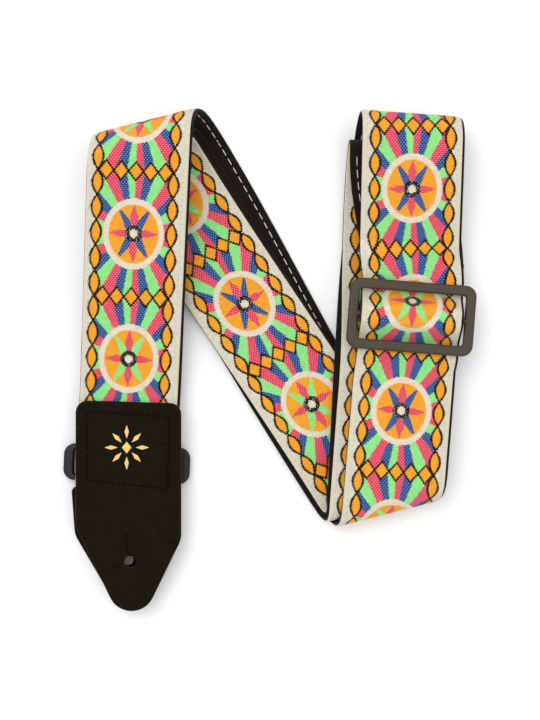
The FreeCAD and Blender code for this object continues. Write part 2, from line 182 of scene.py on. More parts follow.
def ruling_angles(first, first_heading, last, last_heading):
    a, b = (angle_near(degrees(atan2(c.g.y, c.g.x)), heading - 90)
            for c, heading in ((first, first_heading), (last, last_heading)))
    return a, angle_near(b, a)


def slope_normal(g, d, slope, face):
    """Normal on the ribbon side where the strap climbs at this slope along d, with g as its ruling."""
    across = g.cross(up(1.0))
    if across.dot(d) < 0:
        across = -across
    return (up(1.0) - across * (slope / across.dot(d))).normalized() * face


def run_between(first, first_heading, last, last_heading, levels, face, spacing=RUN_SPACING):
    """Sections of a curved run between two turns; levels are pairs of a share of its length and a height."""
    p, q = (Vector((c.centre.x, c.centre.y, 0.0)) for c in (first, last))
    reach = (q - p).length
    count = max(6, int(reach / spacing))
    m, n = unit(first_heading) * reach, unit(last_heading) * reach
    rule = ruling_angles(first, first_heading, last, last_heading)
    sections = []
    for i in range(count + 1):
        t = i / count
        centre = (p * (2 * t ** 3 - 3 * t * t + 1) + m * (t ** 3 - 2 * t * t + t)
                  + q * (3 * t * t - 2 * t ** 3) + n * (t ** 3 - t * t))
        d = (p * (6 * t * t - 6 * t) + m * (3 * t * t - 4 * t + 1) + q * (6 * t - 6 * t * t)
             + n * (3 * t * t - 2 * t)).normalized()
        g = unit(rule[0] + (rule[1] - rule[0]) * t)
        z, slope = levels[-1][1], 0.0
        for (ta, za), (tb, zb) in zip(levels, levels[1:]):
            if t < ta:
                z = za
                break
            if t <= tb:
                k = (t - ta) / (tb - ta)
                z = za + (zb - za) * k * k * (3 - 2 * k)
                slope = (zb - za) * 6 * k * (1 - k) / ((tb - ta) * reach)
                break
        normal = slope_normal(g, d, slope, face)
        if g.dot(right_of(d)) < 0:
            g = -g
        sections.append(Section(centre + up(z), g, normal, d, face))
    return sections


def climbing_run(first, last, heading, easing, face):
    """Sections of a straight run that eases into a steady climb."""
    d = unit(heading)
    reach = (last.centre - first.centre).dot(d)
    grade = (last.centre.z - first.centre.z) / (reach - easing / 2)
    rule = ruling_angles(first, heading, last, heading)
    sections = []
    count = int(reach / RUN_SPACING)
    for i in range(count + 1):
        s, t = reach * i / count, i / count
        rise = grade * (s * s / (2 * easing) if s < easing else s - easing / 2)
        slope = grade * min(s / easing, 1.0)
        p = first.centre.lerp(last.centre, t)
        g = unit(rule[0] + (rule[1] - rule[0]) * t)
        p.z = first.centre.z + rise
        sections.append(Section(p, g, slope_normal(g, d, slope, face), d, face))
    return sections


def backwards(sections):
    return [c.flipped() for c in reversed(sections)]


# ---- turns and runs, as in the CAD
FRONT_LEG = (-68.2, 155.0, 86.9)
DOWN, UP = False, True
FACE, BACK = 1, -1
# each turn: where it starts, its headings in and out, and what fold() takes after those
LEFT_OUTER = (-70.7, 108.3), 86.9, -58.3, (Z1, Z_TAIL, 15.6, 11.5, DOWN, FACE)
LEFT_MIDDLE = (-68.1, 162.9), 87.2, -58.6, (Z2, Z5, 8.3, 8.0, DOWN, FACE)
LEFT_INNER = (-68.1, 163.0), 87.6, -59.0, (Z3, Z4, 5.6, 8.0, DOWN, BACK)
BASE_OUTER = (65.8, 113.5), -95.2, 123.8, (Z1, Z_SLIDE, 10.6, 6.0, DOWN, FACE)
BASE_MIDDLE = (58.7, 110.1), -94.5, 123.1, (Z2, Z5, 7.4, 8.0, DOWN, FACE)
BASE_INNER = (56.1, 109.9), -93.0, 121.6, (Z3, Z4, 4.7, 8.0, DOWN, BACK)
TOP_OUTER = (69.2, 183.1), 89.3, -97.6, (Z1, Z_SLIDE, 12.4, 10.0, DOWN, FACE)
TOP_INNER = (64.4, 228.1), 88.8, -95.5, (Z2, Z_RETURN, (Z_RETURN - Z2) / 2, 0.0, DOWN, BACK)


def make_turn(start, before, after, shape):
    return fold(Vector((*start, 0.0)), before, after, *shape)


left_outer, left_middle, left_inner = (make_turn(*t) for t in (LEFT_OUTER, LEFT_MIDDLE, LEFT_INNER))
base_outer, base_middle, base_inner = (make_turn(*t) for t in (BASE_OUTER, BASE_MIDDLE, BASE_INNER))
top_outer, top_inner = make_turn(*TOP_OUTER), make_turn(*TOP_INNER)


def lower(turn, table):
    """Last section of a turn and the heading of a run that leaves it there."""
    return turn[-1], table[2]


def upper(turn, table):
    """First section of a turn and the heading of a run that leaves it there."""
    return turn[0], table[1] + 180


def into(end):
    """The same end with the heading of a run that arrives there."""
    return end[0], end[1] - 180


TAIL_TOP, TAIL_END, TAIL_STEPS, CLIMB_EASING = 107.5, 61.5, 15, 12.0
front_tail = [flat_section(FRONT_LEG, TAIL_END + i * (TAIL_TOP - TAIL_END) / TAIL_STEPS - FRONT_LEG[1],
                           Z_TAIL, FACE) for i in range(TAIL_STEPS + 1)]
straight = [i for i, c in enumerate(left_outer) if abs(c.normal.z - left_outer[EASING_STEPS].normal.z) < 1e-6]
left_arc = left_outer[straight[-1]:]
front_leg = climbing_run(front_tail[-1], left_arc[0], FRONT_LEG[2], CLIMB_EASING, FACE)

SLIDE_X, SLIDE_Y, SLIDE_Z = SLIDE_CENTRE
OVER_BAR = (SLIDE_X, SLIDE_Y, SLIDE_ANGLE + 90)
TO_BAR = (SLIDE_X, SLIDE_Y, SLIDE_ANGLE - 90)
HUMP_HALF, RAMP_START, RAMP_LENGTH = 14.6, 12.0, 9.8
HUMP_TOP = SLIDE_Z + SLIDE_THICK / 2 + LAYER_GAP + LAYER + HALF
LOOP_RADIUS = SLIDE_THICK / 2 + LAYER_GAP + HALF
front_hump = ([flat_section(OVER_BAR, y, Z_SLIDE, FACE) for y in (-HUMP_HALF, -13.2)]
              + ramp(OVER_BAR, -RAMP_START, RAMP_LENGTH, Z_SLIDE, HUMP_TOP, FACE)
              + [flat_section(OVER_BAR, 0.0, HUMP_TOP, FACE)]
              + ramp(OVER_BAR, RAMP_START - RAMP_LENGTH, RAMP_LENGTH, HUMP_TOP, Z_SLIDE, FACE)
              + [flat_section(OVER_BAR, y, Z_SLIDE, FACE) for y in (13.2, HUMP_HALF)])
front_low = run_between(*upper(base_outer, BASE_OUTER), front_hump[0], OVER_BAR[2], [(0, Z_SLIDE)], FACE, 2.0)
front_high = run_between(front_hump[-1], OVER_BAR[2], *into(upper(top_outer, TOP_OUTER)), [(0, Z_SLIDE)],
                         FACE, 2.0)
RING_X, RING_Y, RING_Z = RING_CENTRE
bar = Vector((RING_X, RING_Y, 0.0)) + unit(RING_ANGLE + 90) * ((RING_DEPTH - RING_BAR) / 2)
ring_turn = fold(bar, RING_ANGLE - 90, RING_ANGLE + 90, Z1, Z_RING_TOP, (Z_RING_TOP - Z1) / 2, 0.0, UP, BACK)
loop_in = flat_section(TO_BAR, -HUMP_HALF, Z_RETURN, BACK)
loop_out = HUMP_HALF + 14.0
slide_loop = ([loop_in] + ramp(TO_BAR, -10.2, 9.3, Z_RETURN, SLIDE_Z + LOOP_RADIUS, BACK)
              + fold(Vector((SLIDE_X, SLIDE_Y, 0.0)), TO_BAR[2], OVER_BAR[2], SLIDE_Z - LOOP_RADIUS,
                     SLIDE_Z + LOOP_RADIUS, LOOP_RADIUS, 0.0, DOWN, BACK)
              + ramp(OVER_BAR, 1.0, 10.0, SLIDE_Z - LOOP_RADIUS, Z_RETURN - LAYER, FACE)
              + [flat_section(OVER_BAR, y, Z_RETURN - LAYER, FACE) for y in (16.0, 22.0, loop_out)])

# the whole strap in order, from the end under the front leather to the end sewn round the slide
STRAP = [
    ("front_tail", front_tail),
    ("front_leg", front_leg),
    ("left_turn_outer", left_arc),
    ("diagonal_low", run_between(*lower(left_outer, LEFT_OUTER), *into(lower(base_outer, BASE_OUTER)),
                                 [(0, Z1)], BACK)),
    ("base_turn_outer", backwards(base_outer)),
    ("front_low", front_low),
    ("front_hump", front_hump),
    ("front_high", front_high),
    ("top_turn_outer", top_outer),
    ("right_back", run_between(*lower(top_outer, TOP_OUTER), *into(upper(base_inner, BASE_INNER)),
                               [(0, Z1), (0.48, Z1), (0.82, Z4)], BACK)),
    ("base_turn_inner", base_inner),
    ("diagonal_top", run_between(*lower(base_inner, BASE_INNER), left_inner[-1], LEFT_INNER[2] + 180,
                                 [(0, Z3)], FACE)),
    ("left_turn_inner", backwards(left_inner)),
    ("left_back", run_between(*upper(left_inner, LEFT_INNER), ring_turn[0], RING_ANGLE - 90,
                              [(0, Z4), (0.22, Z4), (0.68, Z1)], BACK)),
    ("ring_turn", ring_turn),
    ("left_middle", run_between(ring_turn[-1], RING_ANGLE + 90, *into(upper(left_middle, LEFT_MIDDLE)),
                                [(0, Z_RING_TOP), (0.38, Z_RING_TOP), (0.8, Z5)], FACE)),
    ("left_turn_middle", left_middle),
    ("diagonal_middle", run_between(*lower(left_middle, LEFT_MIDDLE),
                                    *into(lower(base_middle, BASE_MIDDLE)), [(0, Z2)], BACK)),
    ("base_turn_middle", backwards(base_middle)),
    ("right_middle", run_between(*upper(base_middle, BASE_MIDDLE), top_inner[-1], TOP_INNER[2] + 180,
                                 [(0, Z5), (0.22, Z5), (0.56, Z2)], FACE)),
    ("top_turn_inner", backwards(top_inner)),
    ("right_return", run_between(*upper(top_inner, TOP_INNER), loop_in, TO_BAR[2], [(0, Z_RETURN)], BACK)),
    ("slide_loop", slide_loop)]
RUN = dict(STRAP)
strap_length, last_centre = 0.0, None
for _, run_sections in STRAP:
    for run_section in run_sections:
        if last_centre is not None:
            strap_length += (run_section.centre - last_centre).length
        run_section.s, last_centre = strap_length, run_section.centre

# ---- the ribbon's pattern: where its flowers lie along the strap, in millimetres
REPEAT = 61.5
FLOWERS = [(64.5, 1), (127.2, 2), (490.6, 8), (549.6, 9), (608.3, 10), (917.2, 15), (977.9, 16)]


def pattern_position(s):
    """Distance along the strap turned into distance along the pattern, a few percent apart."""
    for (sa, na), (sb, nb) in zip(FLOWERS, FLOWERS[1:]):
        if s <= sb:
            break
    if s < FLOWERS[0][0] or s > FLOWERS[-1][0]:
        sa, na = FLOWERS[0] if s < FLOWERS[0][0] else FLOWERS[-1]
        return na * REPEAT + (s - sa)
    return (na + (nb - na) * (s - sa) / (sb - sa)) * REPEAT


def pattern_side(s):
    """How far the pattern lies from the strap's middle; most near the leather end."""
    return 0.2 + 1.1 * min(max((420.0 - s) / 220.0, 0.0), 1.0)


# ---- mesh helpers
def metres(p):
    return (p + ORIGIN) * MM


def shaded_object(name, mesh, sharp):
    """The mesh as an object, smooth but for edges steeper than the angle."""
    mesh.polygons.foreach_set("use_smooth", [True] * len(mesh.polygons))
    mesh.set_sharp_from_angle(angle=radians(sharp))
    obj = bpy.data.objects.new(name, mesh)
    bpy.context.scene.collection.objects.link(obj)
    return obj


def make_object(name, points, faces, materials, slots=None, strap_coords=None, sharp=48.0):
    mesh = bpy.data.meshes.new(name)
    mesh.from_pydata([tuple(p) for p in points], [], faces)
    for material in materials:
        mesh.materials.append(material)
    if slots:
        mesh.polygons.foreach_set("material_index", slots)
    if strap_coords:
        attribute = mesh.attributes.new("strap", "FLOAT_VECTOR", "POINT")
        attribute.data.foreach_set("vector", strap_coords)
    work = bmesh.new()
    work.from_mesh(mesh)
    bmesh.ops.recalc_face_normals(work, faces=work.faces)
    work.to_mesh(mesh)
    work.free()
    return shaded_object(name, mesh, sharp)


def loft(rings, joined=False):
    """Points and faces of a tube through closed rings of equal count, capped, or joined end to end."""
    count, total = len(rings[0]), len(rings)
    points = [p for ring in rings for p in ring]
    faces = []
    for i in range(total if joined else total - 1):
        a, b = i * count, (i + 1) % total * count
        faces += [(a + j, a + (j + 1) % count, b + (j + 1) % count, b + j) for j in range(count)]
    if not joined:
        faces += [tuple(reversed(range(count))), tuple(range(len(points) - count, len(points)))]
    return points, faces


def webbing_profile(width, low, high, columns=10):
    """Closed cross-section: (across, offset) with rounded selvedges."""
    r = (high - low) / 2
    inner = width / 2 - r
    profile = [(-inner + 2 * inner * i / columns, low) for i in range(columns + 1)]
    profile += [(inner + r * cos(a), low + r + r * sin(a))
                for a in (radians(-90 + 30 * i) for i in range(1, 6))]
    profile += [(inner - 2 * inner * i / columns, high) for i in range(columns + 1)]
    profile += [(-inner - r * cos(a), low + r + r * sin(a))
                for a in (radians(90 - 30 * i) for i in range(1, 6))]
    return profile


SEAM_ACROSS, BACK_SEAM_ACROSS = 22.1, 21.7
RIBBON_SHIFT, RIBBON_EDGE = 0.5, 24.45  # the ribbon is sewn on a little off the middle


def ribbon_profile():
    """The ribbon lies on the webbing; its folded edge is thin and the seam pulls it down a little."""
    edge = RIBBON_EDGE
    top = [(w, 0.0) for w in (0.0, 3.0, 6.0, 9.0, 12.0, 15.0, 18.0, 20.4)]
    top += [(21.4, -0.05), (SEAM_ACROSS - 0.25, -0.17), (SEAM_ACROSS + 0.25, -0.17), (23.0, -0.05),
            (edge - 0.6, -0.09), (edge - 0.3, -0.2), (edge - 0.08, -0.42), (edge, -0.66)]
    right = [(w, HALF + dz) for w, dz in reversed(top)]
    left = [(-w, HALF + dz) for w, dz in top[1:]]
    low = SPLIT - 0.03  # just inside the webbing
    under = [(-12.0, low), (0.0, low), (12.0, low)]
    loop = [(edge - 0.15, low)] + right + left + [(-edge + 0.15, low)] + under
    return [(w - RIBBON_SHIFT, z) for w, z in loop]


WEBBING_PROFILE = webbing_profile(WEBBING_WIDTH, -HALF, SPLIT)
RIBBON_PROFILE = ribbon_profile()


def strip(name, sections, profile, material):
    """A length of webbing or ribbon, with its place along and across the pattern stored at each point."""
    rings, coords = [], []
    for c in sections:
        rings.append([])
        for w, offset in profile:
            q = w / c.across
            s = c.s + q * c.along
            rings[-1].append(metres(c.centre + c.g * q + c.normal * offset))
            coords += (pattern_position(s), w + pattern_side(s), 0.0)
    points, faces = loft(rings)
    return make_object(name, points, faces, [material], strap_coords=coords)


def stitch(start, end, normal, width, height, points, faces):
    """Adds one thread: a short rounded bar with pointed ends that dip into the cloth."""
    side = (end - start).cross(normal).normalized() * (width / 2)
    first = len(points)
    points.append(start - normal * (height * 0.5))
    for t, size in ((0.16, 0.8), (0.5, 1.0), (0.84, 0.8)):
        middle = start.lerp(end, t) + normal * (height * (0.25 if t == 0.5 else 0.05))
        for j in range(6):
            a = radians(60 * j)
            points.append(middle + side * (cos(a) * size) + normal * (sin(a) * size * height / 2))
    points.append(end - normal * (height * 0.5))
    for j in range(6):
        k = (j + 1) % 6
        faces.append((first, first + 1 + k, first + 1 + j))
        for a in (first + 1, first + 7):
            faces.append((a + j, a + k, a + 6 + k, a + 6 + j))
        faces.append((first + 13 + j, first + 13 + k, first + 19))


def seam_points(sections, across, offset, pitch, length):
    """Start, end and normal of each stitch of a row that runs along the strap."""
    track = []
    for c in sections:
        q = across / c.across
        track.append((c.s + q * c.along, c.centre + c.g * q + c.normal * offset, c.normal))
    found, i = [], 0
    number = math.floor(track[0][0] / pitch)
    while number * pitch < track[-1][0]:
        first, last = max(number * pitch, track[0][0]), min(number * pitch + length, track[-1][0])
        number += 1
        if last - first < 0.3 * length:
            continue
        ends = []
        for s in (first, last):
            while i < len(track) - 2 and track[i + 1][0] < s:
                i += 1
            (sa, pa, na), (sb, pb, nb) = track[i], track[i + 1]
            t = min(max((s - sa) / max(sb - sa, 1e-6), 0.0), 1.0)
            ends.append((pa.lerp(pb, t), na.lerp(nb, t)))
        found.append((ends[0][0], ends[1][0], ends[0][1].normalized()))
    return found


# ---- materials
def rgb(*colour):
    """sRGB 0-255 to linear."""
    return tuple(v / 255 / 12.92 if v <= 10 else ((v / 255 + 0.055) / 1.055) ** 2.4 for v in colour) + (1.0,)


class Graph:
    """Small helper to write shader arithmetic. Values are sockets or plain numbers."""

    def __init__(self, name, roughness=0.7, specular=0.3):
        self.material = bpy.data.materials.new(name)
        self.material.use_nodes = True
        self.tree = self.material.node_tree
        self.shader = self.tree.nodes["Principled BSDF"]
        self.shader.inputs["Roughness"].default_value = roughness
        self.shader.inputs["Specular IOR Level"].default_value = specular

    def set(self, socket, value):
        if isinstance(value, bpy.types.NodeSocket):
            self.tree.links.new(value, socket)
        else:
            socket.default_value = value

    def node(self, kind, **settings):
        node = self.tree.nodes.new(kind)
        for key, value in settings.items():
            setattr(node, key, value)
        return node

    def math(self, operation, a, b=0.0, c=0.0, clamp=False):
        node = self.node("ShaderNodeMath", operation=operation, use_clamp=clamp)
        for socket, value in zip(node.inputs, (a, b, c)):
            self.set(socket, value)
        return node.outputs[0]

    def length(self, a, b):
        return self.math("SQRT", self.muladd(a, a, self.mul(b, b)))

    def inside(self, distance, soft=0.14):
        """1 where the distance is negative, 0 where it is positive, over a soft edge."""
        return self.math("MULTIPLY_ADD", distance, -1.0 / soft, 0.5, clamp=True)

    def mix(self, factor, a, b):
        node = self.node("ShaderNodeMix", data_type="RGBA")
        self.set(node.inputs[0], factor)
        self.set(node.inputs[6], a)
        self.set(node.inputs[7], b)
        return node.outputs[2]

    def shade(self, colour, amount):
        """colour times a grey value."""
        node = self.node("ShaderNodeMix", data_type="RGBA", blend_type="MULTIPLY")
        node.inputs[0].default_value = 1.0
        self.set(node.inputs[6], colour)
        grey = self.node("ShaderNodeCombineColor")
        for socket in grey.inputs:
            self.set(socket, amount)
        self.set(node.inputs[7], grey.outputs[0])
        return node.outputs[2]

    def strap(self):
        """Distance along and across the strap, in millimetres."""
        split = self.node("ShaderNodeSeparateXYZ")
        self.set(split.inputs[0], self.node("ShaderNodeAttribute", attribute_name="strap").outputs["Vector"])
        return split.outputs[0], split.outputs[1]

    def place(self, x, y):
        node = self.node("ShaderNodeCombineXYZ")
        self.set(node.inputs[0], x)
        self.set(node.inputs[1], y)
        return node.outputs[0]

    def object_place(self):
        return self.node("ShaderNodeTexCoord").outputs["Object"]

    def noise(self, vector, scale, detail=2.0):
        node = self.node("ShaderNodeTexNoise")
        self.set(node.inputs["Vector"], vector)
        node.inputs["Scale"].default_value = scale
        node.inputs["Detail"].default_value = detail
        return node.outputs[0]

    def finish(self, colour, height=None, depth=0.0001):
        self.set(self.shader.inputs["Base Color"], colour)
        if height is not None:
            bump = self.node("ShaderNodeBump")
            bump.inputs["Distance"].default_value = depth
            bump.inputs["Strength"].default_value = 1.0
            self.set(bump.inputs["Height"], height)
            self.set(self.shader.inputs["Normal"], bump.outputs[0])
        return self.material


for short, full in (("add", "ADD"), ("sub", "SUBTRACT"), ("mul", "MULTIPLY"), ("absolute", "ABSOLUTE"),
                    ("floor", "FLOOR"), ("fract", "FRACT"), ("wrap", "FLOORED_MODULO"), ("sine", "SINE"),
                    ("least", "MINIMUM"), ("greater", "GREATER_THAN"), ("muladd", "MULTIPLY_ADD")):
    setattr(Graph, short, lambda self, *values, operation=full: self.math(operation, *values))

CREAM, RING_CREAM = rgb(229, 221, 200), rgb(238, 227, 203)
ORANGE, PINK, BLUE, GREEN = rgb(255, 170, 46), rgb(236, 52, 90), rgb(3, 68, 142), rgb(150, 238, 142)
BLACK, PINK_DOT, BLUE_DOT = rgb(20, 16, 11), rgb(255, 196, 190), rgb(186, 206, 226)
CHAIN, CHAIN_SWING, CHAIN_LINKS = 18.4, 2.55, 5
DIAMOND, DIAMOND_HALF = 7.15, 4.6
RAY_EDGES = (8.0, 17.8, 29.0, 41.5, 54.5, 70.0)  # degrees from the strap's length
STEP_ALONG, STEP_ACROSS, STAGGER = 0.55, 0.45, 0.3  # threads that the motif's edges follow
POINT_ALONG, POINT_ACROSS, POINT_RADIUS = 0.95, 1.5, 0.27
FLOWER_RING, FLOWER_DISC = (14.9, 17.4), (12.2, 14.4)  # half axes across and along
ARM_ANGLE, ARM_HALF, ARM_LENGTH = radians(31.8), 3.0, 13.0
EYE_RADIUS, PUPIL_RADIUS = 4.15, 2.0


def woven_ribbon():
    g = Graph("woven_ribbon", roughness=0.78, specular=0.25)
    along, across = g.strap()
    # the motif's edges step from thread to thread
    y = g.mul(g.floor(g.mul(along, 1 / STEP_ALONG)), STEP_ALONG)
    x = g.mul(g.floor(g.muladd(across, 1 / STEP_ACROSS, 0.5)), STEP_ACROSS)
    x = g.muladd(g.sub(g.wrap(g.floor(g.mul(along, 1 / STEP_ALONG)), 2.0), 0.5), STAGGER, x)
    number = g.floor(g.muladd(y, 1 / REPEAT, 0.5))
    y = g.sub(y, g.mul(number, REPEAT))
    ax, ay = g.absolute(x), g.absolute(y)
    # weave: pale points on pink and blue, fine ribs elsewhere
    row = g.mul(along, 1 / POINT_ALONG)
    point_x = g.muladd(g.wrap(g.floor(row), 2.0), 0.5, g.mul(across, 1 / POINT_ACROSS))
    point_x, point_y = g.sub(g.fract(point_x), 0.5), g.sub(g.fract(row), 0.5)
    point = g.inside(g.sub(g.length(g.mul(point_x, 1.05), g.mul(point_y, 0.95)), POINT_RADIUS), 0.12)
    pink = g.mix(g.mul(point, 0.6), PINK, PINK_DOT)
    blue = g.mix(g.mul(point, 0.5), BLUE, BLUE_DOT)
    # rays
    angle = g.mul(g.math("ARCTAN2", ax, ay), 180 / pi)
    sector = 0.0
    for edge in RAY_EDGES:
        sector = g.add(g.greater(angle, edge), sector)
    kind = g.wrap(sector, 3.0)
    right = g.greater(x, 0.0)
    colour = g.mix(g.math("COMPARE", kind, 1.0, 0.1), GREEN, blue)
    pink_kind = g.muladd(right, -2.0, 2.0)
    colour = g.mix(g.math("COMPARE", kind, pink_kind, 0.1), colour, pink)
    # cream margin outside the chains
    colour = g.mix(g.inside(g.sub(CHAIN, ax)), colour, CREAM)
    # row of diamonds between the flowers
    dx = g.absolute(g.sub(g.wrap(g.add(x, DIAMOND / 2), DIAMOND), DIAMOND / 2))
    dy = g.sub(REPEAT / 2, ay)
    slant = 1 / hypot(2 / DIAMOND, 1 / DIAMOND_HALF)
    d = g.mul(g.sub(g.add(g.mul(dx, 2 / DIAMOND), g.mul(dy, 1 / DIAMOND_HALF)), 1.0), slant)
    row_mask = g.inside(g.sub(ax, 2.5 * DIAMOND))
    colour = g.mix(g.mul(g.inside(d), row_mask), colour, ORANGE)
    colour = g.mix(g.mul(g.inside(g.sub(g.absolute(d), 0.46)), row_mask), colour, BLACK)
    # chains
    link = g.mul(g.absolute(g.sine(g.muladd(y, pi * CHAIN_LINKS / REPEAT,
                                          pi * CHAIN_LINKS / 2))), CHAIN_SWING)
    a = g.mul(g.sub(g.absolute(g.sub(ax, CHAIN)), link), 0.85)
    colour = g.mix(g.inside(a), colour, ORANGE)
    colour = g.mix(g.inside(g.sub(g.absolute(a), 0.5)), colour, BLACK)
    # flower
    for (half_x, half_y), scale, tint in ((FLOWER_RING, 15.0, RING_CREAM), (FLOWER_DISC, 12.5, ORANGE)):
        outside = g.sub(g.length(g.mul(x, 1 / half_x), g.mul(y, 1 / half_y)), 1.0)
        colour = g.mix(g.inside(g.mul(outside, scale)), colour, tint)
    t = g.muladd(ax, sin(ARM_ANGLE), g.mul(ay, cos(ARM_ANGLE)))
    u = g.absolute(g.muladd(ax, cos(ARM_ANGLE), g.mul(ay, -sin(ARM_ANGLE))))
    width = g.muladd(t, -0.18, ARM_HALF)
    odd = g.wrap(number, 2.0)
    arm = g.mul(g.inside(g.sub(u, width)), g.inside(g.sub(t, ARM_LENGTH)))
    colour = g.mix(arm, colour, g.mix(odd, blue, GREEN))
    for t, u, tip, half, root, growth, taper in ((ay, ax, 14.5, 2.1, 0.25, 1.29, 0.42),
                                                 (ax, ay, 12.2, 2.0, 0.45, 1.1, 0.5)):
        part = g.mul(t, 1 / tip)
        width = g.least(g.mul(g.sub(1.0, part), 1 / taper), g.muladd(part, growth, root))
        width = g.mul(width, half)
        colour = g.mix(g.inside(g.sub(u, width)), colour, pink)
    r = g.length(x, y)
    flecks = g.noise(g.place(g.mul(along, 1.6), g.mul(across, 1.6)), 1.0, 1.0)
    flecked = g.mix(g.inside(g.sub(flecks, 0.36), 0.05), BLACK, CREAM)
    colour = g.mix(g.inside(g.sub(r, EYE_RADIUS)), colour, flecked)
    teeth = g.muladd(g.sine(g.mul(angle, pi / 180 * 8)), 0.16, PUPIL_RADIUS)
    colour = g.mix(g.inside(g.sub(r, teeth)), colour, RING_CREAM)
    # ribs and uneven threads: painted shade in the grooves between the threads, and random tone from the
    # uneven threads
    rib = g.sine(g.mul(along, 2 * pi / 0.56))
    cross_rib = g.sine(g.mul(across, 2 * pi / 0.46))
    weave = g.mul(rib, cross_rib)
    slant_rib = g.sine(g.mul(g.add(along, g.mul(across, 0.8)), 2 * pi / 1.15))
    uneven = g.noise(g.place(g.mul(along, 0.9), g.mul(across, 0.35)), 1.0, 3.0)
    shade = g.add(g.add(g.muladd(weave, 0.12, 0.79), g.mul(slant_rib, 0.09)), g.mul(uneven, 0.42))
    height = g.add(g.add(g.muladd(weave, 0.5, g.mul(point, 0.8)), g.mul(slant_rib, 0.35)),
                   g.mul(uneven, 0.9))
    return g.finish(g.shade(colour, shade), height, 0.00022)


def black_webbing():
    g = Graph("black_webbing", roughness=0.78, specular=0.12)
    along, across = g.strap()
    # herringbone: the slant of the ribs turns from one column to the next
    column = g.mul(across, 1 / 2.6)
    zigzag = g.mul(g.absolute(g.sub(g.wrap(column, 2.0), 1.0)), 2.6)
    rib = g.sine(g.mul(g.add(along, zigzag), 2 * pi / 1.25))
    thread = g.sine(g.mul(across, 2 * pi / 0.65))
    uneven = g.noise(g.place(g.mul(along, 0.8), g.mul(across, 0.8)), 1.0, 3.0)
    weave = g.muladd(thread, 0.3, rib)
    # painted shade in the grooves between the ribs, and random tone from uneven threads
    shade = g.add(g.muladd(weave, 0.4, 0.55), g.mul(uneven, 0.8))
    height = g.muladd(weave, 0.6, uneven)
    g.shader.inputs["Sheen Weight"].default_value = 0.04
    g.shader.inputs["Sheen Roughness"].default_value = 0.5
    return g.finish(g.shade(rgb(24, 19, 11), shade), height, 0.0003)


def plain_thread(name, colour):
    g = Graph(name, roughness=0.8, specular=0.1)
    where = g.object_place()
    uneven = g.noise(where, 1500.0, 2.0)
    return g.finish(g.shade(colour, g.muladd(uneven, 0.4, 0.75)), uneven, 0.00008)


def black_leather():
    g = Graph("black_leather", roughness=0.5, specular=0.06)
    where = g.object_place()
    cells = g.node("ShaderNodeTexVoronoi", feature="DISTANCE_TO_EDGE")
    g.set(cells.inputs["Vector"], where)
    cells.inputs["Scale"].default_value = 1050.0
    valley = g.math("MULTIPLY", cells.outputs["Distance"], 6.0, clamp=True)
    fine = g.noise(where, 2600.0, 3.0)
    broad = g.noise(where, 60.0, 3.0)
    height = g.muladd(fine, 0.5, valley)
    speckle = g.noise(where, 900.0, 4.0)
    mottle = g.muladd(broad, 0.6, g.muladd(speckle, 2.8, -0.9))
    tone = g.add(g.muladd(valley, 0.3, 0.1), mottle)
    g.set(g.shader.inputs["Roughness"], g.muladd(broad, 0.22, 0.36))
    return g.finish(g.shade(rgb(19, 14, 3), tone), height, 0.00013)


def leather_edge():
    g = Graph("leather_edge", roughness=0.7, specular=0.25)
    where = g.object_place()
    fibre = g.noise(where, 1400.0, 4.0)
    return g.finish(g.mix(fibre, rgb(52, 42, 34), rgb(122, 98, 74)), fibre, 0.0001)


def moulded_plastic(name, colour, roughness):
    g = Graph(name, roughness=roughness, specular=0.3)
    where = g.object_place()
    grain, broad = g.noise(where, 2400.0, 2.0), g.noise(where, 90.0, 2.0)
    g.set(g.shader.inputs["Roughness"], g.muladd(broad, 0.16, roughness - 0.08))
    return g.finish(g.shade(colour, g.muladd(broad, 0.2, 0.9)), grain, 0.00003)


def gold_foil():
    g = Graph("gold_foil", roughness=0.34)
    where = g.object_place()
    worn = g.noise(where, 1300.0, 3.0)
    g.shader.inputs["Metallic"].default_value = 0.85
    g.set(g.shader.inputs["Roughness"], g.muladd(worn, 0.3, 0.22))
    return g.finish(g.shade(rgb(222, 184, 104), g.muladd(worn, 0.3, 0.82)), worn, 0.00003)


RIBBON, WEBBING = woven_ribbon(), black_webbing()
LEATHER, EDGE, GOLD = black_leather(), leather_edge(), gold_foil()
# front stitches: cream thread darkened with painted shade, as they sit pressed into the ribbon
FRONT_THREAD = plain_thread("ribbon_thread", rgb(206, 198, 180))
BACK_THREAD = plain_thread("white_thread", rgb(216, 211, 200))
BLACK_THREAD = plain_thread("black_thread", rgb(3, 2, 1))
SLIDE_PLASTIC = moulded_plastic("slide_plastic", rgb(60, 52, 38), 0.42)
RING_PLASTIC = moulded_plastic("ring_plastic", rgb(24, 20, 14), 0.4)


# ---- which runs make one piece, and what it moves with
FLEX, LOW_STRETCH, HIGH_STRETCH = (114.0, 106.0), (84.0, 130.0), (226.0, 164.0)  # from strap to body, in Y


def on_run(run, stretch):
    """The two ends of the stretch of a run where the cloth goes over to its body, in metres."""
    return tuple(metres(Vector((RUN[run][0].centre.x, y, Z_SLIDE))) for y in stretch)


PIECES = [(name, [name], "strap", None) for name, _ in STRAP if name not in
          ("front_tail", "front_leg", "base_turn_outer", "front_low", "front_high", "top_turn_outer",
           "right_return", "front_hump", "slide_loop", "ring_turn", "left_middle")]
PIECES += [
    ("ring_wrap", ["ring_turn", "left_middle"], "strap", None),
    ("front_hump", ["front_hump"], "slide", None),
    ("slide_loop", ["slide_loop"], "slide", None),
    ("front_end_run", ["front_tail", "front_leg"], "front_end", on_run("front_leg", FLEX)),
    ("base_turn_front", ["base_turn_outer", "front_low"], "slide", on_run("front_low", LOW_STRETCH)),
    ("top_turn_front", ["front_high", "top_turn_outer"], "slide", on_run("front_high", HIGH_STRETCH)),
    ("right_return", ["right_return"], "slide", on_run("right_return", HIGH_STRETCH))]
